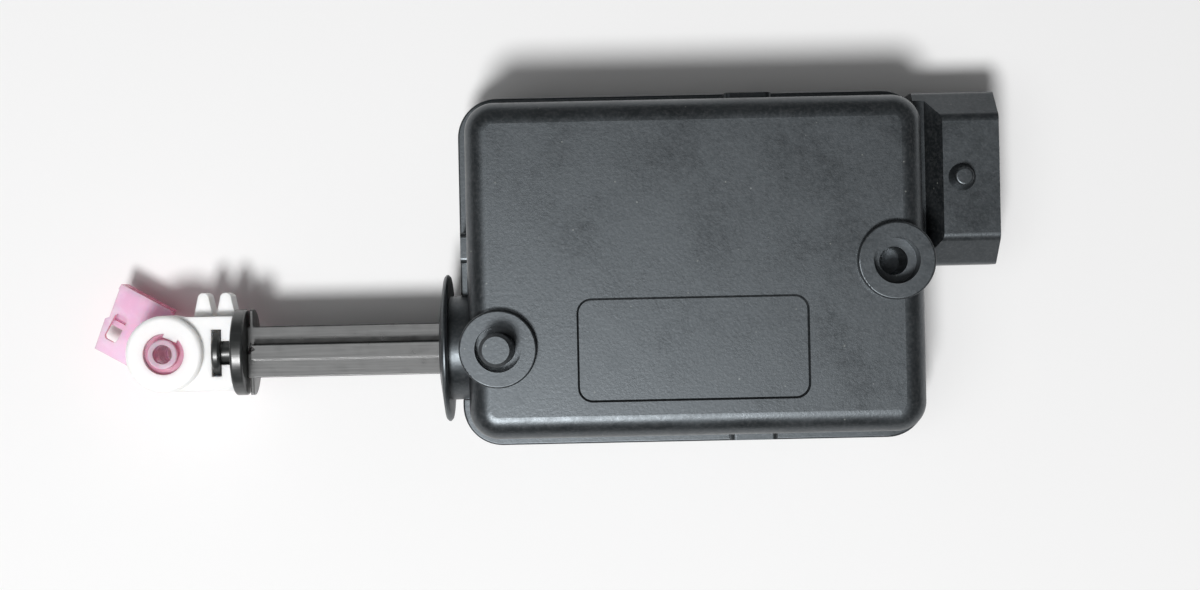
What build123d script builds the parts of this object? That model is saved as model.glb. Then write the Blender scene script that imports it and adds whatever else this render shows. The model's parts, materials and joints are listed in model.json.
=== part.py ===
"""Door latch actuator: a motor-driven plunger in a two-part housing, with its rod coupling and clip.

Frame: millimetres, origin on the locating peg's axis in the plane of the mounting bosses' faces.
+Z leaves the mounting face, +X points from the plunger to the connector. The plunger rests extended,
towards -X, and slides along +X. Every shaft of the drive lies along Y.
"""

from build123d import *
import math
import os

os.makedirs("parts", exist_ok=True)

# Clearances
running_gap = 0.05       # round a shaft or a sliding face
seat_gap = 0.05          # between two fixed pieces that seat on each other
moving_gap = 0.15        # beside pieces that turn past each other
tooth_play = 0.04        # taken off every tooth flank

# Gear train: motor pinion, wheel, rack pinion, rack
pressure_angle = 25.0
dedendum = 1.25          # in modules
flank_points = 4
drive_module = 0.5
motor_teeth = 12
wheel_teeth = 40
rack_module = 0.8
rack_pinion_teeth = 12
rack_teeth = 12
rack_gaps_past = 2.5     # tooth gaps of the rack beyond the pinion's axis, at rest
rack_end_cut = 0.1       # of a pitch, taken off behind the last tooth
wheel_face = 3.5
hub_length = 2.3
hub_r = 3.4
rack_pinion_face = 6.6
motor_pinion_face = 4.3
gear_pin_r = 1.5
gear_pin_chamfer = 0.2
wheel_rim = 2.0          # pitch circle to the recess in the wheel's side
wheel_recess = 0.9
wheel_hub_wall = 0.6     # recess to hub

# Plunger
stroke = 20.0
rod_size = 7.7           # across the arms of the cross section
rod_rib = 2.3            # thickness of each arm
rod_length = 37.7        # from the stop flange to the inner end disc
stop_flange_r = 6.6
stop_flange_t = 1.2
thin_disc_t = 0.5
disc_gap = 0.4
end_disc_t = 1.9
end_disc_r = 6.5
tip_neck_r = 1.65
tip_neck_length = 2.1
button_r = 3.4
button_t = 1.2
web_notch = 1.5          # moulded notch through the web beside the end disc
web_notch_low = 0.3
web_notch_mid = 0.5
web_notch_high = 1.4
web_notch_lean = 0.45
end_disc_round = 0.35
button_chamfer = 0.25
rack_width = 5.8
rack_shift = 1.3         # the rack's middle lies this far below the rod's axis, along -Y
rail_height = 1.1
retract_gap = 1.9        # stop flange to rack pinion when the plunger is drawn in
gusset_t = 2.0           # between the stop flange and the rack
gusset_reach = 2.8
gusset_rise = 2.0

# Housing
wall = 2.0
corner_round = 4.4
edge_round = 3.3
peg_to_wall = 4.5        # peg axis to the outside of the plunger's wall
wheel_to_wall = 0.5
saddle_t = 0.8
pin_rib_t = 1.8
motor_gap = 0.5
wiring_space = 6.8       # beside the motor, for the terminals
rim_proud = 1.6          # the case's rim stands out round the cover
rim_height = 2.2
rim_round = 1.3
rim_edge = 0.3
tongue_t = 0.7
tongue_height = 0.8
floor_rib_t = 1.3
cradle_rib_y = 7.5       # motor's front to the first cradle rib
saddle_margin = 2.2      # a saddle rib's reach beside the pin
rib_sink = 0.2           # how far a rib runs into the wall that carries it
rail_t = 1.0
rail_inset = 0.9         # rack's side to the middle of a rail
side_guide_t = 0.5
side_guide_rise = 0.9
rear_bumper_t = 2.0
rear_bumper_height = 4.6
bumper_rib_t = 1.2
bumper_rib_rise = 0.6
bumper_round = 0.5

# Mounting bosses
boss_rise = 1.5
boss_r = 5.7
boss_recess_r = 3.4
peg_r = 2.45
peg_rise = 6.0
peg_recess_depth = 2.5
peg_chamfer = 0.5
peg_skirt_depth = 6.0
screw_x = 58.2
screw_y = 11.7
screw_r = 2.1
counterbore_depth = 4.0
screw_bore_depth = 13.0
screw_skirt_depth = 8.8
screw_pillar_wall = 1.5
boss_skin = 1.2          # plastic under and round the boss recesses
boss_edge = 0.3

# Label pocket in the cover
pocket_x = 28.5
pocket_y = -0.5
pocket_length = 34.0
pocket_width = 15.2
pocket_round = 2.2
pocket_depth = 0.5
pocket_draft = 32.0

# Snap latches between the two shells
latch_width = 7.0
side_latch_width = 4.6
latch_x = 37.6
side_latch_y = 15.0
latch_t = 1.0
latch_reach = 6.0
latch_root = 2.6
latch_window_height = 2.2
latch_bar = 1.2
latch_side_bar = 1.2
latch_lug_rise = 0.7
latch_lug_lead = 0.2
latch_round = 0.8

# Plunger guide: the round nose that the shells clamp
guide_flange_r = 11.1
guide_flange_t = 0.8
guide_dish = 0.7
guide_neck_r = 7.85
guide_neck_length = 3.1
guide_rim_edge = 0.3
guide_groove_r = 6.2
guide_inner_t = 1.15
bumper_t = 1.3
bumper_bore_gap = 0.4
bumper_chamfer = 0.2

# Connector
conn_y = 24.1
conn_drop = 1.7          # the terminals lie this far below the plunger's axis
conn_length = 12.4
conn_width = 26.2
conn_top_width = 18.2
conn_above = 6.7         # from the terminals to the top face
conn_below = 6.3
conn_slope_height = 4.5
conn_wall = 1.6
conn_round = 1.6
conn_step_height = 3.0
conn_step_start = 1.7
conn_step_run = 2.25
socket_depth = 7.6
socket_chamfer = 0.5
conn_groove_width = 14.8
conn_groove_height = 9.0
conn_lip = 0.6
conn_flange_t = 0.85
lug_r = 1.35
lug_base_r = 2.1
lug_rise = 2.4
lug_setback = 5.65
lug_round = 0.4
terminal_count = 5
terminal_pitch = 3.0
blade_width = 1.6
blade_t = 0.8
blade_setback = 1.5
strip_width = 1.2
strip_t = 0.4
strip_setback = 3.2
blade_chamfer = 0.25
pad_length = 3.5
strip_riser_gap = 0.2    # board's edge to the strip's riser

# Motor: a round can with two flats
motor_r = 12.1
motor_flat = 9.15        # axis to each flat
can_wall = 1.0
can_round = 0.8
can_length = 21.8
end_cap_length = 6.2
end_cap_plug = 1.8
end_cap_inset = 0.9
end_cap_round = 0.6
motor_rear_gap = 1.7
shaft_r = 1.0
shaft_chamfer = 0.15
bush_r = 2.6
bush_length = 3.0
bush_proud = 0.4
magnet_r = 8.2
magnet_arc = 84.0
magnet_length = 14.0
armature_r = 7.8
armature_length = 13.0
armature_poles = 3
winding_length = 16.6
commutator_r = 2.6
commutator_length = 3.4
brush_width = 2.0
brush_length = 3.4
brush_room = 3.6         # round the commutator, inside the end cap
end_cap_skin = 2.2
commutator_gap = 0.4
shaft_end_gap = 0.4
core_hub_r = 3.0
core_arm_t = 2.4
core_shoe_t = 1.4
core_shoe_arc = 96.0
winding_inner = 0.2      # hub to coil
winding_outer = 0.55     # coil to shoe
winding_width = 4.6
tab_width = 1.6
tab_t = 0.4
tab_offset = 4.5
tab_reach = 2.6

# Position contacts
board_t = 1.6
board_length = 27.4
track_t = 0.08
track_width = 1.2
track_pitch = 2.2
track_count = 3
track_length = 24.0
track_start = 2.0        # stop flange to the tracks' near ends
track_inset = 1.5        # pin rib to the first track
board_margin = 1.0
board_overhang = 1.6
board_round = 1.0
wiper_arm_rise = 1.6     # rails to the arm
wiper_arm_t = 1.6
wiper_arm_length = 3.0
wiper_arm_margin = 0.6
wiper_t = 0.3
wiper_margin = 0.3
wiper_setback = 0.2
wiper_finger = 0.8
wiper_reach = 3.6        # from the strip to the finger's tip
wiper_foot = 1.0

# Rod coupling
eye_distance = 7.1       # button's outer face to the eye's axis
eye_r = 5.8
eye_round = 0.6
eye_rise = 3.5           # plunger's axis to the eye's upper face
fork_rise = 1.9
coupling_drop = 5.1
fin_tip = 9.1
fin_root = 5.5
fin_width = 2.9
fin_tip_r = 0.85
fin_gap = 0.5
fin_drop = 2.4           # fork's top to the fins' top
fork_round = 1.2
eye_lug_width = 2.2
eye_lug_t = 0.8
eye_lug_angle = 66.0

# Rod clip
clip_angle = 150.5
bush_flange_r = 3.05
bush_tube_r = 2.25
bush_tube_rise = 0.8
bush_tube_round = 0.25
rod_hole_r = 1.45
clip_plate_t = 1.2
clip_length = 12.4
clip_end_slant = 1.6
clip_end_step = 0.5      # the lower half of the arm's end stands out this far
clip_upper_side = 5.4
clip_lower_side = 5.3
clip_wall_start = 3.8
clip_wall_t = 0.9
clip_channel = 2.8
clip_jaw_t = 1.0
clip_jaw_width = 6.6
clip_jaw_start = 1.5     # wall's start to the jaw's
clip_lip = 0.9
clip_lip_t = 0.9
clip_window_along = 2.1
clip_window_across = 4.3
clip_window_at = 9.9
clip_window_side = 1.0
clip_window_round = 0.6

# Radii that follow from the teeth
wheel_pitch_r = drive_module * wheel_teeth / 2
wheel_tip_r = wheel_pitch_r + drive_module
motor_pinion_pitch_r = drive_module * motor_teeth / 2
rack_pinion_pitch_r = rack_module * rack_pinion_teeth / 2
rack_pinion_tip_r = rack_pinion_pitch_r + rack_module
rack_pitch = math.pi * rack_module

# Heights
half_cavity = wheel_tip_r + wheel_to_wall
axis_z = -boss_rise - wall - half_cavity
cover_z = -boss_rise
ceiling_z = axis_z + half_cavity
floor_z = axis_z - half_cavity
back_z = floor_z - wall
rack_pitch_z = axis_z - rack_pinion_pitch_r
rack_top_z = rack_pitch_z + rack_module
rack_root_z = rack_pitch_z - dedendum * rack_module
rail_z = floor_z + rail_height
rack_bottom_z = rail_z + running_gap
wiper_arm_z = rail_z + wiper_arm_rise
board_top_z = floor_z + seat_gap + board_t
eye_top_z = axis_z + eye_rise
fork_top_z = axis_z + fork_rise
coupling_low_z = axis_z - coupling_drop

# Places along Y, across the drive
rack_mid_y = -rack_shift
rack_low_y = rack_mid_y - rack_width / 2
rack_high_y = rack_mid_y + rack_width / 2
pinion_low_y = rack_mid_y - rack_pinion_face / 2
pinion_high_y = rack_mid_y + rack_pinion_face / 2
wheel_high_y = pinion_low_y - hub_length
wheel_low_y = wheel_high_y - wheel_face
saddle_high_y = wheel_low_y - moving_gap
cavity_low_y = saddle_high_y - saddle_t
pin_rib_low_y = pinion_high_y + moving_gap
pin_rib_high_y = pin_rib_low_y + pin_rib_t
motor_y = pin_rib_high_y + motor_gap
can_end_y = motor_y + can_length
motor_end_y = can_end_y + end_cap_length
cavity_high_y = motor_end_y + motor_rear_gap
track_low_y = pin_rib_high_y + track_inset
track_high_y = track_low_y + (track_count - 1) * track_pitch + track_width
pinion_low_end_y = (wheel_low_y + wheel_high_y - motor_pinion_face) / 2
armature_low_y = motor_y + can_wall + (can_length - can_wall - end_cap_plug - armature_length) / 2
commutator_low_y = can_end_y - end_cap_plug + commutator_gap

# Places along X
outer_wall_x = -peg_to_wall
inner_wall_x = outer_wall_x + wall
guide_groove_in = inner_wall_x + seat_gap
guide_in_x = guide_groove_in + guide_inner_t
bumper_x = guide_in_x + seat_gap
stop_x = bumper_x + bumper_t + seat_gap
stop_back_x = stop_x + stop_flange_t
gear_x = stop_back_x + stroke + retract_gap + rack_pinion_tip_r
motor_x = gear_x + wheel_pitch_r + motor_pinion_pitch_r
motor_right_x = motor_x + motor_r
cavity_right_x = motor_right_x + wiring_space
right_wall_x = cavity_right_x + wall
rack_end_x = gear_x + (rack_gaps_past - rack_end_cut) * rack_pitch
rear_bumper_x = rack_end_x + stroke + seat_gap
rod_end_x = stop_x - rod_length
thin_disc_x = rod_end_x - thin_disc_t
end_disc_x = thin_disc_x - disc_gap
neck_x = end_disc_x - end_disc_t
button_x = neck_x - tip_neck_length
fork_end_x = neck_x - moving_gap
eye_x = button_x - button_t - eye_distance
conn_x = right_wall_x + seat_gap
conn_end_x = conn_x + conn_length
conn_z = axis_z - conn_drop
board_left_x = inner_wall_x + edge_round - wall + seat_gap
board_right_x = board_left_x + board_length

# The housing's outline
house_length = right_wall_x - outer_wall_x
house_width = cavity_high_y - cavity_low_y + 2 * wall
house_mid_x = (right_wall_x + outer_wall_x) / 2
house_mid_y = (cavity_high_y + cavity_low_y) / 2
house_top_y = house_mid_y + house_width / 2
house_bottom_y = house_mid_y - house_width / 2


def block(x, y, z):
    """A box between two limits along each axis."""
    mid = [(low + high) / 2 for low, high in (x, y, z)]
    size = [high - low for low, high in (x, y, z)]
    return Pos(*mid) * Box(*size)


def bar_x(radius, x, y=0.0, z=axis_z):
    return Pos((x[0] + x[1]) / 2, y, z) * Rot(0, 90, 0) * Cylinder(radius, x[1] - x[0])


def bar_y(radius, y, x=gear_x, z=axis_z):
    return Pos(x, (y[0] + y[1]) / 2, z) * Rot(90, 0, 0) * Cylinder(radius, y[1] - y[0])


def bar_z(radius, z, x=0.0, y=0.0):
    return Pos(x, y, (z[0] + z[1]) / 2) * Cylinder(radius, z[1] - z[0])


def side_plane(x, y, z):
    """The plane square to Y whose local axes are X and Z. Extruding from it runs towards -Y."""
    return Plane(origin=(x, y, z), x_dir=(1, 0, 0), z_dir=(0, -1, 0))


def end_plane(x, y, z):
    """The plane square to X whose local axes are Y and Z. Extruding from it runs towards +X."""
    return Plane(origin=(x, y, z), x_dir=(0, 1, 0), z_dir=(1, 0, 0))


def prism_y(points, y):
    """A prism along Y whose X and Z corners are given."""
    face = make_face(Polyline(*points, close=True))
    return extrude(side_plane(0, y[1], 0) * face, y[1] - y[0])


# ---------------------------------------------------------------- gears


def involute(angle):
    return math.tan(angle) - angle


def gear_outline(module, teeth, first_tooth):
    """A spur gear's outline about the local origin, with a tooth centred on first_tooth degrees."""
    pitch_r = module * teeth / 2
    base_r = pitch_r * math.cos(math.radians(pressure_angle))
    tip_r = pitch_r + module
    root_r = pitch_r - dedendum * module
    rolled = involute(math.radians(pressure_angle))
    half_pitch_tooth = math.pi / (2 * teeth) - tooth_play / pitch_r + rolled
    start_r = max(root_r, base_r)
    flank = [(root_r, half_pitch_tooth)] if root_r < base_r else []
    for step in range(flank_points):
        radius = start_r + (tip_r - start_r) * step / (flank_points - 1)
        flank.append((radius, half_pitch_tooth - involute(math.acos(base_r / radius))))
    points = []
    for tooth in range(teeth):
        centre = math.radians(first_tooth) + 2 * math.pi * tooth / teeth
        sides = [(r, centre - a) for r, a in flank] + [(r, centre + a) for r, a in reversed(flank)]
        points += [(r * math.cos(a), r * math.sin(a)) for r, a in sides]
    return make_face(Polyline(*points, close=True))


def spur_gear(module, teeth, first_tooth, x, y):
    """A spur gear on an axis along Y."""
    outline = gear_outline(module, teeth, first_tooth)
    return extrude(side_plane(x, y[1], axis_z) * outline, y[1] - y[0])


def rack_bar():
    """The toothed bar, with a tooth gap under the rack pinion's axis."""
    slope = math.tan(math.radians(pressure_angle))
    half_tooth = rack_pitch / 4 - tooth_play
    half_tip = half_tooth - rack_module * slope
    half_root = half_tooth + dedendum * rack_module * slope
    outline = [(stop_x, rack_bottom_z), (stop_x, rack_root_z)]
    for tooth in range(rack_teeth):
        middle = gear_x + (tooth + rack_gaps_past - rack_teeth) * rack_pitch
        outline.append((middle - half_root, rack_root_z))
        outline.append((middle - half_tip, rack_top_z))
        outline.append((middle + half_tip, rack_top_z))
        outline.append((middle + half_root, rack_root_z))
    outline += [(rack_end_x, rack_root_z), (rack_end_x, rack_bottom_z)]
    return prism_y(outline, (rack_low_y, rack_high_y))


def reduction_gear():
    wheel = spur_gear(drive_module, wheel_teeth, 0, gear_x, (wheel_low_y, wheel_high_y))
    recess_y = (wheel_low_y - 1, wheel_low_y + wheel_recess)
    web_cut = bar_y(wheel_pitch_r - wheel_rim, recess_y) - bar_y(hub_r + wheel_hub_wall, recess_y)
    hub = bar_y(hub_r, (wheel_high_y, pinion_low_y))
    pinion = spur_gear(rack_module, rack_pinion_teeth, -90, gear_x, (pinion_low_y, pinion_high_y))
    bore = bar_y(gear_pin_r + running_gap, (wheel_low_y - 1, pinion_high_y + 1))
    return wheel - web_cut + hub + pinion - bore


def motor_pinion():
    low = pinion_low_end_y
    high = low + motor_pinion_face
    teeth = spur_gear(drive_module, motor_teeth, 180 + 180 / motor_teeth, motor_x, (low, high))
    return teeth - bar_y(shaft_r, (low - 1, high + 1), motor_x)


def gear_pin():
    pin = bar_y(gear_pin_r, (cavity_low_y + seat_gap, pin_rib_high_y))
    return chamfer(pin.edges().filter_by(GeomType.CIRCLE), gear_pin_chamfer)


# ---------------------------------------------------------------- plunger


def cross_bar(x):
    """The rod's cross section: a flat web and an upright rib."""
    half = rod_size / 2
    rib = rod_rib / 2
    web = block(x, (-half, half), (axis_z - rib, axis_z + rib))
    upright = block(x, (-rib, rib), (axis_z - half, axis_z + half))
    return web + upright


def web_notch_cut():
    """The triangular notch through the web between the end disc and the rib's start."""
    left = end_disc_x
    corners = [(left, -web_notch_low), (left + web_notch, web_notch_mid),
               (left + web_notch_lean, web_notch_high)]
    face = make_face(Polyline(*corners, close=True))
    return extrude(Plane.XY.offset(axis_z - rod_size) * face, 2 * rod_size)


def plunger():
    rod = cross_bar((rod_end_x, stop_x))
    web = block((end_disc_x, rod_end_x), (-rod_size / 2, rod_size / 2),
                (axis_z - rod_rib / 2, axis_z + rod_rib / 2))
    thin_disc = bar_x(end_disc_r, (thin_disc_x, rod_end_x))
    thin_disc -= block((thin_disc_x - 1, rod_end_x + 1), (-end_disc_r - 1, end_disc_r + 1),
                       (axis_z + rod_rib / 2, axis_z + end_disc_r + 1))
    end_disc = bar_x(end_disc_r, (neck_x, end_disc_x))
    end_disc = fillet(end_disc.edges().filter_by(GeomType.CIRCLE), end_disc_round)
    neck = bar_x(tip_neck_r, (button_x, neck_x))
    button = bar_x(button_r, (button_x - button_t, button_x))
    button = chamfer(button.edges().filter_by(GeomType.CIRCLE), button_chamfer)
    flange = bar_x(stop_flange_r, (stop_x, stop_back_x))
    foot = block((stop_x, stop_back_x), (rack_low_y, rack_high_y), (rack_bottom_z, axis_z))
    gusset = prism_y(
        [(stop_back_x, axis_z + gusset_rise), (stop_back_x + gusset_reach, rack_root_z),
         (stop_back_x, rack_root_z)],
        (rack_mid_y - gusset_t / 2, rack_mid_y + gusset_t / 2),
    )
    body = rod + web + thin_disc + end_disc + neck + button - web_notch_cut()
    return body + flange + foot + rack_bar() + gusset + wiper_arm()


def wiper_arm():
    """The arm that carries the wiper over the contact board."""
    return block((stop_x, stop_x + wiper_arm_length), (rack_high_y, track_high_y + wiper_arm_margin),
                 (wiper_arm_z, wiper_arm_z + wiper_arm_t))


def wiper_contact():
    """The sprung strip under the arm, with one bent finger to each track."""
    strip_z = (wiper_arm_z - wiper_t, wiper_arm_z)
    contact_z = board_top_z + track_t + running_gap
    start = stop_x + wiper_setback
    bend = stop_x + wiper_arm_length - wiper_setback
    tip = bend + wiper_reach
    strip = block((start, bend), (track_low_y - wiper_margin, track_high_y + wiper_margin), strip_z)
    outline = [(bend, strip_z[1]), (tip - wiper_foot / 2, contact_z + wiper_t), (tip, contact_z + wiper_t),
               (tip - wiper_foot / 4, contact_z), (tip - wiper_foot, contact_z), (bend, strip_z[0])]
    fingers = []
    for finger in range(track_count):
        middle = track_low_y + track_width / 2 + finger * track_pitch
        fingers.append(prism_y(outline, (middle - wiper_finger / 2, middle + wiper_finger / 2)))
    return strip + fingers


# ---------------------------------------------------------------- housing


def house_block(inset, z):
    """A block of the housing's outline, inset by a distance, between two heights."""
    outline = RectangleRounded(house_length - 2 * inset, house_width - 2 * inset, corner_round - inset)
    return extrude(Pos(house_mid_x, house_mid_y, z[0]) * outline, z[1] - z[0])


def half_shell(face_z, sign):
    """One shell, open at the parting plane. sign is 1 for the cover and -1 for the case."""
    z = sorted((axis_z, face_z))
    inner_z = sorted((axis_z, face_z - sign * wall))
    far_edge = -1 if sign > 0 else 0
    outer = house_block(0, z)
    outer = fillet(outer.edges().group_by(Axis.Z)[far_edge], edge_round)
    inner = house_block(wall, inner_z)
    inner = fillet(inner.edges().group_by(Axis.Z)[far_edge], edge_round - wall)
    return outer, inner


def latch_places():
    """Each snap latch: its place on the wall, the angle of the wall's outward side, and its width."""
    return [
        (Pos(latch_x, house_top_y, axis_z) * Rot(0, 0, 0), latch_width),
        (Pos(latch_x, house_bottom_y, axis_z) * Rot(0, 0, 180), latch_width),
        (Pos(outer_wall_x, side_latch_y, axis_z) * Rot(0, 0, 90), side_latch_width),
    ]


def latch_tongue(width):
    """A loop of the rear case, with +Y leaving the wall and Z counted from the parting plane."""
    gap = moving_gap
    half = width / 2
    tongue = block((-half, half), (gap, gap + latch_t), (-latch_root, latch_reach))
    root = block((-half, half), (0, gap + latch_t), (-latch_root, -gap))
    window_top = latch_reach - latch_bar
    window = block((latch_side_bar - half, half - latch_side_bar), (gap - 1, gap + latch_t + 1),
                   (window_top - latch_window_height, window_top))
    loop = fillet((tongue + root).edges().group_by(Axis.Z)[-1].filter_by(Axis.Y), latch_round)
    return loop - window


def latch_lug(width):
    """The cover's wedge that sits in the loop's window."""
    half = width / 2 - latch_side_bar - moving_gap
    top = latch_reach - latch_bar - moving_gap
    low = top - latch_window_height + 2 * moving_gap
    corners = [(-rib_sink, top), (moving_gap + latch_lug_rise, top), (moving_gap + latch_lug_lead, low),
               (-rib_sink, low)]
    face = make_face(Polyline(*corners, close=True))
    return extrude(end_plane(-half, 0, 0) * face, 2 * half)


def saddle_ribs(z):
    """The two ribs that hold the gear's pin, between a shell's inner face and the parting plane."""
    half = gear_pin_r + saddle_margin
    low_rib = block((gear_x - half, gear_x + half), (cavity_low_y - rib_sink, saddle_high_y), z)
    high_rib = block((gear_x - half, gear_x + half), (pin_rib_low_y, pin_rib_high_y), z)
    return [low_rib, high_rib]


def motor_profile(grow):
    """The motor's round section with two flats, as a sketch in the side plane."""
    flats = Rectangle(2 * (motor_r + grow), 2 * (motor_flat + grow))
    return Circle(motor_r + grow) & flats


def motor_block(grow, y):
    return extrude(side_plane(motor_x, y[1], axis_z) * motor_profile(grow), y[1] - y[0])


def terminal_y(number):
    return conn_y + (number - (terminal_count - 1) / 2) * terminal_pitch


def cradle_ribs(z):
    """Ribs shaped to the motor, placed clear of the terminal strips."""
    half = motor_r + saddle_margin
    first = motor_y + cradle_rib_y
    second = (terminal_y(0) + terminal_y(1)) / 2
    ribs = []
    for middle in (first, second):
        y = (middle - floor_rib_t / 2, middle + floor_rib_t / 2)
        rib = block((motor_x - half, motor_x + half), y, z)
        ribs.append(rib - motor_block(seat_gap, (y[0] - 1, y[1] + 1)))
    return ribs


def guide_notch():
    return bar_x(guide_groove_r + seat_gap, (outer_wall_x - 1, inner_wall_x + 1))


def connector_notch():
    half_y = conn_groove_width / 2 + seat_gap
    half_z = conn_groove_height / 2 + seat_gap
    return block((cavity_right_x - 1, right_wall_x + 2 * rim_proud), (conn_y - half_y, conn_y + half_y),
                 (conn_z - half_z, conn_z + half_z))


def rim_cuts():
    """Room in the rear case's rim for the plunger guide's neck and the connector's shroud."""
    half = conn_width / 2 + moving_gap
    shroud = block((right_wall_x, right_wall_x + 2 * rim_proud), (conn_y - half, conn_y + half),
                   (axis_z - 2 * rim_height, axis_z + 1))
    return bar_x(guide_neck_r + moving_gap, (outer_wall_x - 2 * rim_proud, outer_wall_x)) + shroud


def pin_groove():
    return bar_y(gear_pin_r + running_gap / 2, (cavity_low_y, pin_rib_high_y + 1))


def screw_boss_cuts():
    bore = bar_z(screw_r, (-screw_bore_depth, 1), screw_x, screw_y)
    counterbore = bar_z(boss_recess_r, (-counterbore_depth, 1), screw_x, screw_y)
    return bore + counterbore


def boss_ring(skirt):
    """A mounting boss with the edge of its face rounded."""
    return fillet(skirt.edges().group_by(Axis.Z)[-1], boss_edge)


def front_cover():
    outer, inner = half_shell(cover_z, 1)
    pillar_r = screw_r + screw_pillar_wall
    peg_skirt = bar_z(boss_r, (-peg_skirt_depth, 0))
    screw_skirt = bar_z(boss_r, (-screw_skirt_depth, 0), screw_x, screw_y)
    body = outer + boss_ring(peg_skirt) + boss_ring(screw_skirt) - inner
    body += bar_z(boss_recess_r + boss_skin, (ceiling_z - boss_skin, cover_z))
    body += bar_z(boss_recess_r + boss_skin, (-counterbore_depth - boss_skin, cover_z), screw_x, screw_y)
    rib_z = (axis_z + seat_gap, ceiling_z + rib_sink)
    body += bar_z(pillar_r, rib_z, screw_x, screw_y)
    for rib in saddle_ribs(rib_z) + cradle_ribs(rib_z):
        body += rib
    body -= bar_z(boss_recess_r, (-peg_recess_depth, 1))
    body -= screw_boss_cuts()
    pocket = RectangleRounded(pocket_length, pocket_width, pocket_round)
    body -= extrude(Pos(pocket_x, pocket_y, cover_z) * pocket, pocket_depth,
                    dir=(0, 0, -1), taper=pocket_draft)
    tongue_in = (wall - tongue_t) / 2
    tongue = house_block(tongue_in, (axis_z - tongue_height, axis_z + rib_sink))
    tongue -= house_block(wall - tongue_in, (axis_z - tongue_height - 1, axis_z + 1))
    body += tongue
    body -= guide_notch()
    body -= connector_notch()
    body -= pin_groove()
    peg = bar_z(peg_r, (-peg_recess_depth - rib_sink, peg_rise))
    peg = chamfer(peg.edges().group_by(Axis.Z)[-1], peg_chamfer)
    body += peg
    for place, width in latch_places():
        body += place * latch_lug(width)
    return body


def rear_case():
    outer, inner = half_shell(back_z, -1)
    rim = house_block(-rim_proud, (axis_z - rim_height, axis_z))
    rim = fillet(rim.edges().group_by(Axis.Z)[0], rim_round)
    rim = fillet(rim.edges().group_by(Axis.Z)[-1], rim_edge)
    body = outer + (rim - rim_cuts()) - inner
    rib_z = (floor_z - rib_sink, axis_z)
    for rib in saddle_ribs(rib_z) + cradle_ribs(rib_z):
        body += rib
    for rail in rack_rails():
        body += rail
    body += bumper_pocket()
    groove_in = (wall - tongue_t) / 2 - seat_gap
    groove = house_block(groove_in, (axis_z - tongue_height - seat_gap, axis_z + 1))
    groove -= house_block(wall - groove_in, (axis_z - tongue_height - 1, axis_z + 2))
    body -= groove
    body -= guide_notch()
    body -= connector_notch()
    body -= pin_groove()
    for place, width in latch_places():
        body += place * latch_tongue(width)
    return body


def rack_rails():
    """Two rails under the rack and a low guide along each of its sides."""
    x = (inner_wall_x - rib_sink, rear_bumper_x)
    rails = []
    for middle in (rack_low_y + rail_inset, rack_high_y - rail_inset):
        rails.append(block(x, (middle - rail_t / 2, middle + rail_t / 2), (floor_z - rib_sink, rail_z)))
    low_side = rack_low_y - running_gap
    high_side = rack_high_y + running_gap
    for side in ((low_side - side_guide_t, low_side), (high_side, high_side + side_guide_t)):
        rails.append(block((stop_x, rear_bumper_x), side, (floor_z - rib_sink, rail_z + side_guide_rise)))
    return rails


def bumper_pocket():
    """The pocket of ribs that holds the rear bumper."""
    back = rear_bumper_x + rear_bumper_t + seat_gap
    top = floor_z + rear_bumper_height + bumper_rib_rise
    outer_y = (rack_low_y - bumper_rib_t, rack_high_y + bumper_rib_t)
    inner_y = (rack_low_y - seat_gap, rack_high_y + seat_gap)
    pocket = block((rear_bumper_x, back + bumper_rib_t), outer_y, (floor_z - rib_sink, top))
    return pocket - block((rear_bumper_x - 1, back), inner_y, (floor_z, top + 1))


def rear_bumper():
    body = block((rear_bumper_x, rear_bumper_x + rear_bumper_t), (rack_low_y, rack_high_y),
                 (floor_z + seat_gap, floor_z + rear_bumper_height))
    return fillet(body.edges().filter_by(Axis.X), bumper_round)


def rod_bore_r():
    return math.hypot(rod_size / 2, rod_rib / 2) + running_gap


def plunger_guide():
    """The round nose: a dished outer flange, a neck, a groove for the shells' edges and an inner flange."""
    neck_in = outer_wall_x - seat_gap
    back = neck_in - guide_neck_length
    front = back - guide_flange_t - guide_dish
    dish_in = front + guide_dish
    bore = rod_bore_r()
    edge = guide_rim_edge
    section = [
        (front, bore), (front, guide_groove_r), (dish_in, guide_flange_r - edge),
        (dish_in + edge, guide_flange_r), (back - edge, guide_flange_r), (back, guide_flange_r - edge),
        (back, guide_neck_r), (neck_in, guide_neck_r), (neck_in, guide_groove_r),
        (guide_groove_in, guide_groove_r), (guide_groove_in, guide_neck_r),
        (guide_in_x, guide_neck_r), (guide_in_x, bore),
    ]
    face = make_face(Polyline(*section, close=True))
    return Pos(0, 0, axis_z) * revolve(face, Axis.X)


def front_bumper():
    x = (bumper_x, bumper_x + bumper_t)
    ring = bar_x(stop_flange_r, x) - bar_x(rod_bore_r() + bumper_bore_gap, (x[0] - 1, x[1] + 1))
    return chamfer(ring.edges().filter_by(GeomType.CIRCLE), bumper_chamfer)


# ---------------------------------------------------------------- connector


def connector_section():
    """The shroud's outline in Y and Z about the terminals: flat bottom, sides that lean in to the top."""
    low = -conn_below
    shoulder = conn_above - conn_slope_height
    corners = [
        (-conn_width / 2, low), (conn_width / 2, low), (conn_width / 2, shoulder),
        (conn_top_width / 2, conn_above), (-conn_top_width / 2, conn_above), (-conn_width / 2, shoulder),
    ]
    return make_face(Polyline(*corners, close=True))


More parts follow.
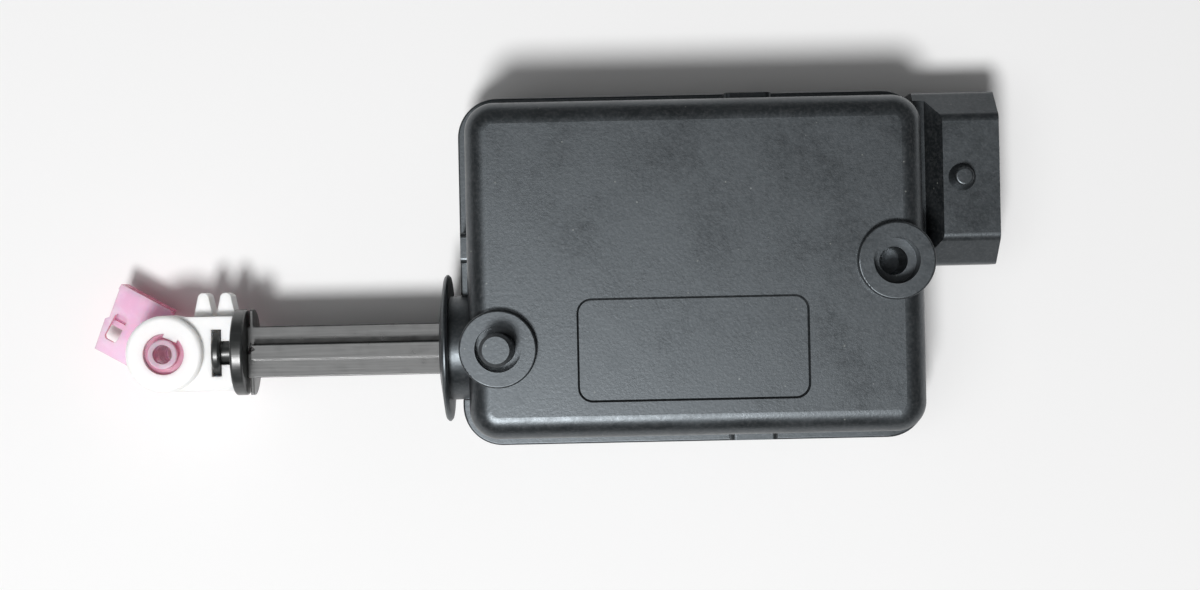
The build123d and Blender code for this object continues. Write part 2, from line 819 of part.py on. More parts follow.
def connector_housing():
    outer = extrude(end_plane(conn_x, conn_y, conn_z) * connector_section(), conn_length)
    outer = fillet(outer.edges().filter_by(Axis.X), conn_round)
    top_z = conn_z + conn_above
    step_x = conn_x + conn_step_start
    step_z = top_z - conn_step_height
    step = prism_y(
        [(conn_x - 1, top_z + 1), (conn_x - 1, step_z), (step_x, step_z),
         (step_x + conn_step_run, top_z), (step_x + conn_step_run, top_z + 1)],
        (conn_y - conn_width, conn_y + conn_width),
    )
    socket_face = offset(connector_section(), -conn_wall, kind=Kind.INTERSECTION)
    socket = extrude(end_plane(conn_end_x - socket_depth, conn_y, conn_z) * socket_face, socket_depth)
    socket = fillet(socket.edges().filter_by(Axis.X), conn_round / 2)
    body = outer - step - socket
    mouth = body.faces().sort_by(Axis.X)[-1].inner_wires()
    body = chamfer([edge for wire in mouth for edge in wire.edges()], socket_chamfer)
    lug_height = rib_sink + lug_rise
    lug = Cone(lug_base_r, lug_r, lug_height)
    lug = fillet(lug.edges().group_by(Axis.Z)[-1], lug_round)
    body += Pos(conn_end_x - lug_setback, conn_y, top_z - rib_sink + lug_height / 2) * lug
    groove_half = conn_groove_width / 2
    groove_z = (conn_z - conn_groove_height / 2, conn_z + conn_groove_height / 2)
    flange_x = cavity_right_x - seat_gap
    neck_x_limits = (flange_x - rib_sink, conn_x + rib_sink)
    body += block(neck_x_limits, (conn_y - groove_half, conn_y + groove_half), groove_z)
    flange_half = groove_half + conn_lip
    flange = block((flange_x - conn_flange_t, flange_x), (conn_y - flange_half, conn_y + flange_half),
                   (groove_z[0] - conn_lip, groove_z[1] + conn_lip))
    body += flange & house_block(wall + seat_gap, (floor_z, ceiling_z))
    for number in range(terminal_count):
        y = terminal_y(number)
        half = blade_width / 2 + seat_gap
        slot_x = (flange_x - conn_flange_t - 1, conn_end_x - socket_depth + 1)
        body -= block(slot_x, (y - half, y + half),
                      (conn_z - blade_t / 2 - seat_gap, conn_z + blade_t / 2 + seat_gap))
    return body


def terminal(number):
    """One stamped terminal: the blade, a leg to the floor, a strip under the motor and a pad on the board."""
    y = terminal_y(number)
    blade_y = (y - blade_width / 2, y + blade_width / 2)
    strip_y = (y - strip_width / 2, y + strip_width / 2)
    leg_x = cavity_right_x - strip_setback
    strip_z = floor_z + seat_gap
    pad_z = board_top_z
    riser_x = board_right_x + strip_riser_gap
    blade = block((leg_x, conn_end_x - blade_setback), blade_y, (conn_z - blade_t / 2, conn_z + blade_t / 2))
    tip = blade.edges().group_by(Axis.X)[-1]
    blade = chamfer(tip.filter_by(Axis.Y), blade_chamfer)
    leg = block((leg_x - strip_t, leg_x), strip_y, (strip_z, conn_z + blade_t / 2))
    strip = block((riser_x, leg_x), strip_y, (strip_z, strip_z + strip_t))
    riser = block((riser_x, riser_x + strip_t), strip_y, (strip_z, pad_z + strip_t))
    pad = block((board_right_x - pad_length, riser_x + strip_t), strip_y, (pad_z, pad_z + strip_t))
    return blade + leg + strip + riser + pad


# ---------------------------------------------------------------- motor


def motor_can():
    can = motor_block(0, (motor_y, can_end_y))
    can = fillet(can.edges().group_by(Axis.Y)[0], can_round)
    can -= motor_block(-can_wall, (motor_y + can_wall, can_end_y + 1))
    return can - bar_y(bush_r, (motor_y - 1, motor_y + bush_length), motor_x)


def motor_end_cap():
    cap = motor_block(-end_cap_inset, (can_end_y + seat_gap, motor_end_y))
    cap = fillet(cap.edges().group_by(Axis.Y)[-1], end_cap_round)
    cap += motor_block(-can_wall - seat_gap, (can_end_y - end_cap_plug, can_end_y + end_cap_skin))
    room_y = (can_end_y - end_cap_plug - 1, motor_end_y - end_cap_skin)
    cap -= bar_y(commutator_r + brush_room, room_y, motor_x)
    cap -= bar_y(bush_r, (motor_end_y - bush_length, motor_end_y + 1), motor_x)
    for tab in motor_tab_blocks(seat_gap):
        cap -= tab
    return cap


def motor_tab_blocks(grow):
    """The two tabs that drop from the end cap to the last two terminals' strips."""
    half_x = tab_width / 2 + grow
    half_y = tab_t / 2 + grow
    low_z = floor_z + 2 * seat_gap + strip_t
    high_z = axis_z - motor_flat + tab_reach
    blocks = []
    for number, side in ((terminal_count - 2, -1), (terminal_count - 1, 1)):
        y = terminal_y(number)
        x = motor_x + side * tab_offset
        tab_z = (low_z - grow, high_z + grow)
        blocks.append(block((x - half_x, x + half_x), (y - half_y, y + half_y), tab_z))
    return blocks


def motor_tabs():
    return motor_tab_blocks(0)


def wedge(arc, reach):
    """A triangle that spans an arc, in degrees, about the sketch's X axis."""
    half = math.radians(arc / 2)
    corner = (reach * math.cos(half), reach * math.sin(half))
    return make_face(Polyline((0, 0), (corner[0], -corner[1]), corner, close=True))


def motor_magnets():
    """Two curved magnets against the can's round sides."""
    outer = motor_r - can_wall - seat_gap
    high = motor_y + can_wall + (can_length - can_wall - end_cap_plug + magnet_length) / 2
    ring = Circle(outer) - Circle(magnet_r)
    magnets = []
    for turn in (0, 180):
        section = ring & (Rot(0, 0, turn) * wedge(magnet_arc, 2 * motor_r))
        magnets.append(extrude(side_plane(motor_x, high, axis_z) * section, magnet_length))
    return magnets


def bush(low):
    ring = bar_y(bush_r - seat_gap / 2, (low, low + bush_length), motor_x)
    return ring - bar_y(shaft_r + running_gap, (low - 1, low + bush_length + 1), motor_x)


def front_bush():
    return bush(motor_y - bush_proud)


def rear_bush():
    return bush(motor_end_y - bush_length)


def motor_shaft():
    shaft = bar_y(shaft_r, (pinion_low_end_y - shaft_end_gap, motor_end_y - shaft_end_gap), motor_x)
    return chamfer(shaft.edges().filter_by(GeomType.CIRCLE), shaft_chamfer)


def pole_turn(pole):
    """The turn about the motor's axis that brings a form to one of the armature's arms."""
    return Rot(0, 0, 360 / armature_poles * pole + 30)


def armature_core():
    """The three-pole iron core: a hub, three arms and three curved shoes."""
    section = Circle(core_hub_r)
    shoe_ring = Circle(armature_r) - Circle(armature_r - core_shoe_t)
    arm_length = armature_r - core_shoe_t / 2
    arm = Pos(arm_length / 2, 0) * Rectangle(arm_length, core_arm_t)
    for pole in range(armature_poles):
        section += shoe_ring & (pole_turn(pole) * wedge(core_shoe_arc, 2 * armature_r))
        section += pole_turn(pole) * arm
    section -= Circle(shaft_r)
    high = armature_low_y + armature_length
    return extrude(side_plane(motor_x, high, axis_z) * section, armature_length)


def armature_windings():
    """A coil of wire round each arm, as one closed form per arm."""
    overhang = (winding_length - armature_length) / 2
    inner = core_hub_r + winding_inner
    outer = armature_r - core_shoe_t - winding_outer
    middle = Pos((inner + outer) / 2, 0)
    section = middle * Rectangle(outer - inner, winding_width)
    slot = middle * Rectangle(outer - inner + 1, core_arm_t + 2 * seat_gap)
    coil_plane = side_plane(motor_x, armature_low_y + armature_length + overhang, axis_z)
    core_plane = side_plane(motor_x, armature_low_y + armature_length + seat_gap, axis_z)
    coils = []
    for pole in range(armature_poles):
        coil = extrude(coil_plane * (pole_turn(pole) * section), winding_length)
        core = extrude(core_plane * (pole_turn(pole) * slot), armature_length + 2 * seat_gap)
        coils.append(coil - core)
    return coils


def commutator():
    high = commutator_low_y + commutator_length
    ring = bar_y(commutator_r, (commutator_low_y, high), motor_x)
    return ring - bar_y(shaft_r, (commutator_low_y - 1, high + 1), motor_x)


def motor_brushes():
    """Two carbon brushes, one each side of the commutator."""
    middle = commutator_low_y + commutator_length / 2
    half = brush_width / 2
    near = commutator_r + running_gap
    far = commutator_r + brush_length
    brushes = []
    for side in (-1, 1):
        x = sorted((motor_x + side * near, motor_x + side * far))
        brushes.append(block(x, (middle - half, middle + half), (axis_z - half, axis_z + half)))
    return brushes


# ---------------------------------------------------------------- contact board


def contact_board():
    y = (track_low_y - board_margin, terminal_y(terminal_count - 1) + board_overhang)
    board = block((board_left_x, board_right_x), y, (floor_z + seat_gap, board_top_z))
    return fillet(board.edges().filter_by(Axis.Z), board_round)


def contact_tracks():
    """Printed tracks that the wiper's fingers run along."""
    tracks = []
    start = stop_x + track_start
    for track in range(track_count):
        low = track_low_y + track * track_pitch
        tracks.append(block((start, start + track_length), (low, low + track_width),
                            (board_top_z, board_top_z + track_t)))
    return tracks


# ---------------------------------------------------------------- rod coupling and clip


def fin(x):
    """A tapered fin with a round tip, standing off the fork along +Y."""
    half = fin_width / 2
    tip_y = fin_tip - fin_tip_r
    foot_y = fin_root - rib_sink
    outline = [
        Line((x - half, foot_y), (x - half, fin_root)),
        Line((x - half, fin_root), (x - fin_tip_r, tip_y)),
        ThreePointArc((x - fin_tip_r, tip_y), (x, fin_tip), (x + fin_tip_r, tip_y)),
        Line((x + fin_tip_r, tip_y), (x + half, fin_root)),
        Line((x + half, fin_root), (x + half, foot_y)),
        Line((x + half, foot_y), (x - half, foot_y)),
    ]
    return extrude(Pos(0, 0, coupling_low_z) * make_face(outline), fork_top_z - fin_drop - coupling_low_z)


def rod_coupling():
    eye = bar_z(eye_r, (coupling_low_z, eye_top_z), eye_x)
    eye = fillet(eye.edges().group_by(Axis.Z)[-1], eye_round)
    body = block((eye_x, fork_end_x), (-eye_r, fin_root), (coupling_low_z, fork_top_z))
    body = fillet(body.edges().group_by(Axis.Y)[0].filter_by(Axis.X), fork_round)
    for number in range(2):
        body += fin(fork_end_x - fin_width / 2 - number * (fin_width + fin_gap))
    pocket_x = (button_x - button_t - moving_gap, button_x + moving_gap)
    pocket_r = button_r + moving_gap
    body -= bar_x(pocket_r, pocket_x)
    body -= block(pocket_x, (-pocket_r, pocket_r), (axis_z, fork_top_z + 1))
    neck_r = tip_neck_r + moving_gap
    neck_span = (pocket_x[0], fork_end_x + 1)
    body -= bar_x(neck_r, neck_span)
    body -= block(neck_span, (-neck_r, neck_r), (axis_z, fork_top_z + 1))
    body += eye
    body -= bar_z(bush_flange_r + running_gap, (coupling_low_z - 1, eye_top_z + 1), eye_x)
    lug_x = (bush_tube_r + 2 * running_gap, bush_flange_r + eye_round)
    lug = block(lug_x, (-eye_lug_width / 2, eye_lug_width / 2), (eye_top_z - eye_lug_t, eye_top_z))
    return body + Pos(eye_x, 0, 0) * Rot(0, 0, eye_lug_angle) * lug


def clip_plate_outline():
    """The arm's outline about the eye: its end leans, and the lower half of the end stands out a little."""
    upper = -clip_upper_side
    lower = clip_lower_side
    half_slant = clip_end_slant / 2
    middle = (upper + lower) / 2
    step = clip_end_step
    return make_face(Polyline(
        (0, upper / 2), (clip_wall_start, upper), (clip_length, upper),
        (clip_length - half_slant, middle), (clip_length - half_slant + step, middle + step),
        (clip_length - clip_end_slant + step, lower), (0, lower), close=True,
    ))


def rod_clip():
    """The clip for the lock rod: a bush that turns in the eye, and an arm with a snap channel."""
    plate_z = (coupling_low_z - 2 * moving_gap - clip_plate_t, coupling_low_z - 2 * moving_gap)
    jaw_z = (plate_z[0] - clip_channel - clip_jaw_t, plate_z[0] - clip_channel)
    shoulder = eye_top_z - eye_lug_t - moving_gap
    tube_top = eye_top_z + bush_tube_rise
    flange = bar_z(bush_flange_r, (plate_z[1] - rib_sink, shoulder))
    tube = bar_z(bush_tube_r, (shoulder - rib_sink, tube_top))
    tube = fillet(tube.edges().group_by(Axis.Z)[-1], bush_tube_round)
    plate = extrude(Pos(0, 0, plate_z[0]) * clip_plate_outline(), clip_plate_t)
    plate += bar_z(clip_lower_side, plate_z)
    window = RectangleRounded(clip_window_along, clip_window_across, clip_window_round)
    plate -= extrude(Pos(clip_window_at, clip_window_side, plate_z[0] - 1) * window, clip_plate_t + 2)
    upper = -clip_upper_side
    side_wall = block((clip_wall_start, clip_length), (upper, upper + clip_wall_t), (jaw_z[0], plate_z[1]))
    jaw_x = (clip_wall_start + clip_jaw_start, clip_length - clip_end_slant / 2)
    jaw_side = upper + clip_jaw_width
    jaw = block(jaw_x, (upper, jaw_side), jaw_z)
    lip = block(jaw_x, (jaw_side - clip_lip_t, jaw_side), (jaw_z[0], jaw_z[1] + clip_lip))
    hole = bar_z(rod_hole_r, (plate_z[0] - 1, tube_top + 1))
    body = flange + tube + plate + side_wall + jaw + lip - hole
    return Pos(eye_x, 0, 0) * Rot(0, 0, clip_angle) * body


# ---------------------------------------------------------------- files


def as_list(shape):
    """A sub-part's solids, whether it was made as one shape or as a list of them."""
    shapes = shape if isinstance(shape, list) else [shape]
    return [solid for item in shapes for solid in item.solids()]


nodes = {
    "front_cover": front_cover(),
    "rear_case": rear_case(),
    "plunger_guide": plunger_guide(),
    "front_bumper": front_bumper(),
    "rear_bumper": rear_bumper(),
    "connector_housing": connector_housing(),
    "motor_can": motor_can(),
    "motor_end_cap": motor_end_cap(),
    "motor_magnets": motor_magnets(),
    "front_bush": front_bush(),
    "rear_bush": rear_bush(),
    "motor_brushes": motor_brushes(),
    "motor_tabs": motor_tabs(),
    "motor_shaft": motor_shaft(),
    "armature_core": armature_core(),
    "armature_windings": armature_windings(),
    "commutator": commutator(),
    "motor_pinion": motor_pinion(),
    "gear_pin": gear_pin(),
    "reduction_gear": reduction_gear(),
    "contact_board": contact_board(),
    "contact_tracks": contact_tracks(),
    "plunger": plunger(),
    "wiper_contact": wiper_contact(),
    "rod_coupling": rod_coupling(),
    "rod_clip": rod_clip(),
}
for number in range(terminal_count):
    nodes[f"terminal_{number + 1}"] = terminal(number)

for name, shape in nodes.items():
    solids = as_list(shape)
    whole = solids[0] if len(solids) == 1 else Compound(children=solids)
    export_step(whole, f"parts/{name}.step")
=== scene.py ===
"""The looks of the door latch actuator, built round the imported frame. Lengths are metres."""

import json
import math

import bpy
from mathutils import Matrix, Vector


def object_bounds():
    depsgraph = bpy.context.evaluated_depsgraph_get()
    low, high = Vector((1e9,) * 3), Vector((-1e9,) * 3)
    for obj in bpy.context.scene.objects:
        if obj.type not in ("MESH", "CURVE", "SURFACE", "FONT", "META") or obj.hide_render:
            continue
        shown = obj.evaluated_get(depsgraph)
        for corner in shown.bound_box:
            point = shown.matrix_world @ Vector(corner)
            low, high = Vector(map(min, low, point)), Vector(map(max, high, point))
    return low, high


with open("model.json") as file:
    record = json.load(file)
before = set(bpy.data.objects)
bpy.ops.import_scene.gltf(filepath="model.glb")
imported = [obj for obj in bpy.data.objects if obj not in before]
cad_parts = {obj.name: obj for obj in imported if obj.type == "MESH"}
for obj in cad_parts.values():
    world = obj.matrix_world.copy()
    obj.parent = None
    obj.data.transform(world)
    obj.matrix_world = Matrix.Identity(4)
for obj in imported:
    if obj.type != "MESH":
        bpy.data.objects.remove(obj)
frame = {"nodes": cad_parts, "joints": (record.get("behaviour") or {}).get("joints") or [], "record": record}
cad_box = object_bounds()

MM = 0.001
nodes = frame["nodes"]
scene = bpy.context.scene


# ---------------------------------------------------------------- camera, light and floor

# The camera looks straight down on the cover, a little rolled.
VIEW_CENTRE = Vector((15.0 * MM, 7.56 * MM, 0.0))
VIEW_HEIGHT = 300 * MM
VIEW_WIDTH = 173.9 * MM
VIEW_ROLL = math.radians(-1.2)
NEAREST = 10 * MM
SENSOR = 36.0

# Each lamp's place from the middle of the part, the size of its disc, and its power in watts.
LAMPS = {
    "key": ((-0.13, -0.392, 1.024), 0.24, 10.5),
    "fill": ((-0.30, -0.18, 0.96), 0.70, 1.7),
    "side": ((-0.50, -0.30, 0.16), 0.30, 0.06),
}
SKY_COLOUR = (1, 1, 1, 1)
SKY_STRENGTH = 0.075

FLOOR_HALF = 1.5
FLOOR_COLOUR = (0.92, 0.92, 0.92, 1)
FLOOR_ROUGHNESS = 0.9
FLOOR_SPECULAR = 0.2


def make_camera():
    data = bpy.data.cameras.new("camera")
    data.sensor_width = SENSOR
    data.lens = SENSOR * VIEW_HEIGHT / VIEW_WIDTH
    data.clip_start = NEAREST
    camera = bpy.data.objects.new("camera", data)
    camera.location = VIEW_CENTRE + Vector((0, 0, VIEW_HEIGHT))
    camera.rotation_euler = (0, 0, VIEW_ROLL)
    scene.collection.objects.link(camera)
    scene.camera = camera


def make_lamp(name, target, offset, size, power):
    """A round area light, which shines on the target from an offset."""
    data = bpy.data.lights.new(name, "AREA")
    data.shape = "DISK"
    data.size = size
    data.energy = power
    lamp = bpy.data.objects.new(name, data)
    lamp.location = target + Vector(offset)
    lamp.rotation_euler = (-Vector(offset)).to_track_quat("-Z", "Y").to_euler()
    scene.collection.objects.link(lamp)


def make_lamps():
    low, high = cad_box
    middle = (low + high) / 2
    for name, (offset, size, power) in LAMPS.items():
        make_lamp(name, middle, offset, size, power)


def make_sky():
    world = bpy.data.worlds.new("world")
    scene.world = world
    world.use_nodes = True
    background = world.node_tree.nodes["Background"]
    background.inputs["Color"].default_value = SKY_COLOUR
    background.inputs["Strength"].default_value = SKY_STRENGTH


def make_floor():
    low, _ = cad_box
    corners = [(-1, -1), (1, -1), (1, 1), (-1, 1)]
    mesh = bpy.data.meshes.new("floor")
    mesh.from_pydata([(x * FLOOR_HALF, y * FLOOR_HALF, low.z) for x, y in corners], [], [(0, 1, 2, 3)])
    floor = bpy.data.objects.new("floor", mesh)
    scene.collection.objects.link(floor)
    material = bpy.data.materials.new("floor_paper")
    material.use_nodes = True
    shader = material.node_tree.nodes["Principled BSDF"]
    shader.inputs["Base Color"].default_value = FLOOR_COLOUR
    shader.inputs["Roughness"].default_value = FLOOR_ROUGHNESS
    shader.inputs["Specular IOR Level"].default_value = FLOOR_SPECULAR
    mesh.materials.append(material)


scene.view_settings.view_transform = "Standard"
make_camera()
make_lamps()
make_sky()
make_floor()


# ---------------------------------------------------------------- material building blocks

# A noise texture seldom leaves this span.
NOISE_SPAN = (0.25, 0.75)
# The period of a wave texture at scale 1.
WAVE_PERIOD = 0.314
BEVEL_SAMPLES = 8


class Surface:
    """A material under construction. Its textures are laid out in millimetres of the piece's own frame."""

    def __init__(self, name, colour, roughness, **values):
        self.material = bpy.data.materials.new(name)
        self.material.use_nodes = True
        self.tree = self.material.node_tree
        self.shader = self.tree.nodes["Principled BSDF"]
        self.colour = (*colour, 1)
        self.feed(self.shader, Base_Color=self.colour, Roughness=roughness, **values)
        self.coordinates = self.add("ShaderNodeTexCoord")
        scaled = self.add("ShaderNodeVectorMath", operation="SCALE")
        self.join(self.coordinates.outputs["Object"], scaled.inputs[0])
        self.join(1 / MM, scaled.inputs["Scale"])
        self.place = scaled.outputs[0]

    def add(self, kind, **properties):
        node = self.tree.nodes.new(kind)
        for key, value in properties.items():
            setattr(node, key, value)
        return node

    def join(self, value, socket):
        """Links an output to an input, or sets the input to a plain value."""
        if isinstance(value, bpy.types.NodeSocket):
            self.tree.links.new(value, socket)
        else:
            socket.default_value = value

    def join_all(self, values, node):
        """Fills a node's first inputs in their order."""
        for value, socket in zip(values, node.inputs):
            self.join(value, socket)

    def feed(self, node, **inputs):
        """Fills a node's inputs by name."""
        for name, value in inputs.items():
            self.join(value, node.inputs[name.replace("_", " ")])

    def stretched(self, size, turn=(0, 0, 0)):
        """The place in units of a grain size along each axis, turned by degrees first."""
        mapping = self.add("ShaderNodeMapping", vector_type="TEXTURE")
        self.feed(mapping, Vector=self.place, Scale=size, Rotation=[math.radians(angle) for angle in turn])
        return mapping.outputs[0]

    def noise(self, size, detail, rough=0.5, place=None):
        node = self.add("ShaderNodeTexNoise")
        self.feed(node, Vector=place or self.place, Scale=1 / size, Detail=detail, Roughness=rough)
        return node.outputs["Fac"]

    def cells(self, size):
        """The distance from the nearest of scattered points, in units of their spacing."""
        node = self.add("ShaderNodeTexVoronoi")
        self.feed(node, Vector=self.place, Scale=1 / size)
        return node.outputs["Distance"]

    def bands(self, size, direction, distortion=0.0):
        node = self.add("ShaderNodeTexWave", bands_direction=direction)
        self.feed(node, Vector=self.place, Scale=WAVE_PERIOD / size, Distortion=distortion)
        return node.outputs["Fac"]

    def spread(self, value, span, onto):
        """Maps one span of a value onto another, and holds it beyond the ends."""
        node = self.add("ShaderNodeMapRange")
        self.join_all((value, *span, *onto), node)
        return node.outputs[0]

    def combine(self, operation, first, second):
        node = self.add("ShaderNodeMath", operation=operation)
        self.join_all((first, second), node)
        return node.outputs[0]

    def from_axis(self, origin):
        """The distance in millimetres from an upright axis through a point."""
        flat = self.add("ShaderNodeVectorMath", operation="MULTIPLY_ADD")
        length = self.add("ShaderNodeVectorMath", operation="LENGTH")
        level_part = (1, 1, 0)
        back_to_origin = (-origin.x / MM, -origin.y / MM, 0)
        self.join_all((self.place, level_part, back_to_origin), flat)
        self.join(flat.outputs[0], length.inputs[0])
        return length.outputs["Value"]

    def facing(self, letter):
        """How far the surface faces along an axis of the piece, from -1 to 1."""
        node = self.add("ShaderNodeSeparateXYZ")
        self.join(self.coordinates.outputs["Normal"], node.inputs[0])
        return node.outputs[letter]

    def tint(self, value, span, share, colour):
        """Mixes in a colour, from none where the value starts its span to the full share where it ends it."""
        node = self.add("ShaderNodeMix", data_type="RGBA")
        sockets = {socket.identifier: socket for socket in (*node.inputs, *node.outputs)}
        self.join(self.spread(value, span, (0, share)), sockets["Factor_Float"])
        self.join(self.colour, sockets["A_Color"])
        self.join((*colour, 1), sockets["B_Color"])
        self.colour = sockets["Result_Color"]
        self.join(self.colour, self.shader.inputs["Base Color"])

    def rough(self, value, low, high):
        """Lets the roughness follow a noise between two ends."""
        self.join(self.spread(value, NOISE_SPAN, (low, high)), self.shader.inputs["Roughness"])

    def bevel(self, radius):
        """Shades the sharp edges as if they were rounded to a radius in millimetres."""
        node = self.add("ShaderNodeBevel", samples=BEVEL_SAMPLES)
        self.feed(node, Radius=radius * MM)
        self.join(node.outputs[0], self.shader.inputs["Normal"])

    def bump(self, height, depth, strength):
        """Adds relief of a depth in millimetres, over the bevel if there is one."""
        node = self.add("ShaderNodeBump")
        self.feed(node, Height=height, Distance=depth * MM, Strength=strength)
        normal = self.shader.inputs["Normal"]
        if normal.is_linked:
            self.join(normal.links[0].from_socket, node.inputs["Normal"])
        self.join(node.outputs[0], normal)


# ---------------------------------------------------------------- materials


def joint_origin(name):
    """A point on a joint's axis, in metres."""
    joint = next(joint for joint in frame["joints"] if joint["name"] == name)
    return Vector(joint["pos_m"])


def housing_plastic():
    """Black glass-filled nylon: fine sparkle grain, faint flow streaks, rubbed patches and dust."""
    cool_gloss = (0.84, 0.93, 1.0, 1)
    s = Surface("housing_plastic", (0.008, 0.0095, 0.0105), 0.38, Specular_IOR_Level=1.0,
                Specular_Tint=cool_gloss)
    clouds = s.noise(22, detail=4)
    streaks = s.noise(1, detail=5, place=s.stretched(size=(14, 2.2, 6), turn=(0, 0, -38)))
    grain = s.noise(0.5, detail=4, rough=0.7)
    flecks = s.cells(2.7)
    s.tint(clouds, (0.35, 0.75), 0.5, (0.008, 0.010, 0.0115))
    s.tint(streaks, (0.5, 0.8), 0.4, (0.030, 0.034, 0.036))
    s.tint(grain, (0.45, 0.72), 0.75, (0.045, 0.046, 0.048))
    s.tint(flecks, (0.06, 0.03), 0.7, (0.20, 0.205, 0.19))
    both = s.combine("ADD", s.noise(1.3, detail=6, rough=0.7), s.noise(11, detail=3))
    patches = s.combine("MULTIPLY", both, 0.5)
    s.rough(patches, 0.24, 0.52)
    s.bump(s.noise(0.5, detail=5, rough=0.7), depth=0.022, strength=0.9)
    return s.material


def plunger_plastic():
    """The rod's harder black acetal, with fine draw marks along it."""
    s = Surface("plunger_plastic", (0.022, 0.024, 0.024), 0.34, Specular_IOR_Level=0.85)
    marks = s.noise(1, detail=4, place=s.stretched(size=(9, 0.35, 0.35)))
    smears = s.noise(1.2, detail=5)
    s.tint(marks, (0.45, 0.8), 0.6, (0.060, 0.064, 0.063))
    s.tint(smears, (0.55, 0.75), 0.4, (0.015, 0.016, 0.017))
    s.rough(s.noise(1.6, detail=5), 0.26, 0.40)
    s.bevel(0.25)
    s.bump(marks, depth=0.015, strength=0.5)
    return s.material


def white_plastic():
    """Milky white moulding, a little yellowed in patches."""
    s = Surface("white_plastic", (0.95, 0.945, 0.93), 0.42, Subsurface_Weight=0.8,
                Subsurface_Scale=1.5 * MM, Subsurface_Radius=(1.0, 0.95, 0.9))
    s.tint(s.noise(3.5, detail=4), (0.5, 0.8), 0.35, (0.86, 0.82, 0.76))
    s.rough(s.noise(1.5, detail=5), 0.28, 0.42)
    s.bump(s.noise(0.6, detail=4), depth=0.01, strength=0.4)
    return s.material


def pink_plastic():
    """Clear pink nylon, pale on its upper faces, with painted light: a strong red pink painted on the other
    faces and round the bush, standing in for light passing through thick plastic, and a paler pink painted in
    and round the bush hole, standing in for light showing through it.
    """
    s = Surface("pink_plastic", (0.97, 0.62, 0.82), 0.25, IOR=1.35, Alpha=0.65, Subsurface_Weight=0.8,
                Subsurface_Scale=1.5 * MM, Subsurface_Radius=(1.0, 0.5, 0.7))
    s.tint(s.noise(3.2, detail=3), (0.45, 0.65), 0.6, (0.97, 0.76, 0.92))
    # Faces that do not face up turn strong red pink: painted light, standing in for light passing edge-on
    # through the clear plastic.
    s.tint(s.facing("Z"), (0.75, 0.25), 0.85, (0.97, 0.22, 0.36))
    from_eye = s.from_axis(joint_origin("clip_pivot"))
    # A deeper red pink, rising from 4 mm to full within 3 mm of the pivot axis: painted light, standing in
    # for light passing through the thick flange round the bush.
    s.tint(from_eye, (4.0, 3.0), 0.75, (1.0, 0.36, 0.50))
    # A paler pink within 2.1 to 2.3 mm of the pivot axis: painted light in and round the bush hole, standing
    # in for light showing through it.
    s.tint(from_eye, (2.3, 2.1), 0.8, (0.97, 0.72, 0.86))
    s.rough(s.noise(1.1, detail=5), 0.16, 0.34)
    s.bump(s.noise(0.9, detail=4), depth=0.01, strength=0.4)
    return s.material


def gear_plastic():
    """Natural acetal, a little uneven in tone."""
    s = Surface("gear_plastic", (0.78, 0.75, 0.66), 0.4, Subsurface_Weight=0.1, Subsurface_Scale=3 * MM)
    s.tint(s.noise(4, detail=4), (0.4, 0.8), 0.5, (0.66, 0.61, 0.50))
    s.rough(s.noise(2, detail=5), 0.32, 0.5)
    s.bump(s.noise(0.5, detail=4), depth=0.01, strength=0.4)
    return s.material


def rubber():
    """Dull black rubber with a dusty bloom."""
    s = Surface("rubber", (0.035, 0.035, 0.036), 0.8)
    s.tint(s.noise(0.8, detail=6), (0.4, 0.8), 0.6, (0.08, 0.08, 0.078))
    s.rough(s.noise(1, detail=5), 0.7, 0.92)
    s.bump(s.noise(0.3, detail=5), depth=0.02, strength=0.6)
    return s.material


def metal(name, colour, worn, rough, grain):
    """A metal with fine marks stretched along a direction and a duller tone in patches."""
    s = Surface(name, colour, rough, Metallic=1.0)
    stained = [0.6 * part for part in worn]
    marks = s.noise(1, detail=5, place=s.stretched(grain))
    s.tint(marks, (0.4, 0.8), 0.6, worn)
    s.tint(s.noise(3, detail=4), (0.55, 0.8), 0.5, stained)
    s.rough(marks, rough - 0.08, rough + 0.12)
    s.bump(marks, depth=0.006, strength=0.5)
    return s.material


def banded(name, colour, groove_shade_and_joint, size, rough):
    """Stacked sheets or wound wire: fine metal bands across Y, with the grooves between them darkened:
    painted shade in the grooves, and for stacked sheets also their dark joints.
    """
    s = Surface(name, colour, rough, Metallic=1.0)
    bands = s.bands(size, "Y", distortion=0.4)
    # The grooves between the bands are darkened: painted shade, and for stacked sheets their dark joints.
    s.tint(bands, (0.5, 0.1), 0.7, groove_shade_and_joint)
    s.rough(s.noise(1.2, detail=4), rough - 0.08, rough + 0.12)
    s.bump(bands, depth=0.05, strength=0.6)
    return s.material


def speckled(name, colour, speck, size, rough):
    """A pressed powder such as ferrite or carbon."""
    s = Surface(name, colour, rough)
    s.tint(s.noise(size, detail=6, rough=0.7), (0.45, 0.75), 0.8, speck)
    s.rough(s.noise(1.5, detail=4), rough - 0.1, rough + 0.1)
    s.bump(s.noise(size, detail=5), depth=0.02, strength=0.5)
    return s.material


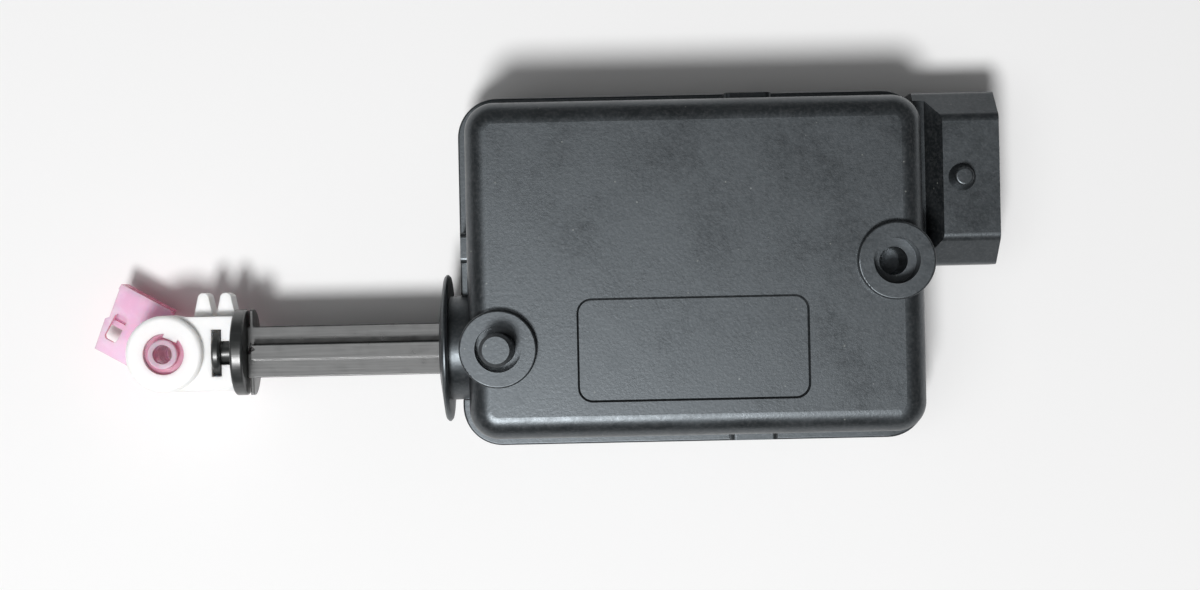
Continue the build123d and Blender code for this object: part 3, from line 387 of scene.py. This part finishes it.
def circuit_board():
    """Green laminate with its glass weave showing faintly."""
    thread = 0.5
    s = Surface("board", (0.06, 0.22, 0.11), 0.45)
    weave = s.combine("MULTIPLY", s.bands(thread, "X"), s.bands(thread, "Y"))
    s.tint(weave, (0.2, 0.9), 0.5, (0.11, 0.33, 0.17))
    s.rough(s.noise(4, detail=4), 0.35, 0.55)
    s.bump(weave, depth=0.02, strength=0.4)
    return s.material


# Each metal's colour, its worn colour, its roughness, and the size of its marks in mm along X, Y and Z.
METALS = {
    "steel": ((0.62, 0.63, 0.64), (0.45, 0.45, 0.46), 0.26, (0.2, 6, 0.2)),
    "can_steel": ((0.66, 0.67, 0.66), (0.52, 0.53, 0.50), 0.34, (1.5, 7, 1.5)),
    "bronze": ((0.60, 0.42, 0.22), (0.40, 0.27, 0.14), 0.45, (0.3, 0.3, 0.3)),
    "brass": ((0.78, 0.60, 0.30), (0.58, 0.42, 0.20), 0.28, (0.2, 3, 0.2)),
    "tinned_brass": ((0.74, 0.73, 0.68), (0.55, 0.53, 0.46), 0.3, (5, 0.4, 0.4)),
}

# Each stack's colour, the colour of its grooves (painted shade between the bands, and dark joints between
# stacked sheets), the width of a band in mm, and its roughness.
STACKS = {
    "copper": ((0.72, 0.36, 0.20), (0.30, 0.12, 0.06), 0.35, 0.32),
    "core_iron": ((0.42, 0.42, 0.44), (0.14, 0.13, 0.12), 0.5, 0.4),
}

# Each powder's colour, the colour of its specks, their size in mm, and its roughness.
POWDERS = {
    "carbon": ((0.05, 0.05, 0.055), (0.13, 0.13, 0.13), 0.25, 0.6),
    "magnet": ((0.11, 0.11, 0.12), (0.20, 0.20, 0.21), 0.4, 0.7),
}

LOOKS = {
    "housing_plastic": housing_plastic(),
    "plunger_plastic": plunger_plastic(),
    "white_plastic": white_plastic(),
    "pink_plastic": pink_plastic(),
    "gear_plastic": gear_plastic(),
    "rubber": rubber(),
    "board": circuit_board(),
    **{name: metal(name, *look) for name, look in METALS.items()},
    **{name: banded(name, *look) for name, look in STACKS.items()},
    **{name: speckled(name, *look) for name, look in POWDERS.items()},
}


def dress_nodes():
    slots = {part["node"]: part["material_slot"] for part in frame["record"]["subparts"]}
    for name, node in nodes.items():
        node.data.materials.clear()
        node.data.materials.append(LOOKS[slots[name]])


dress_nodes()
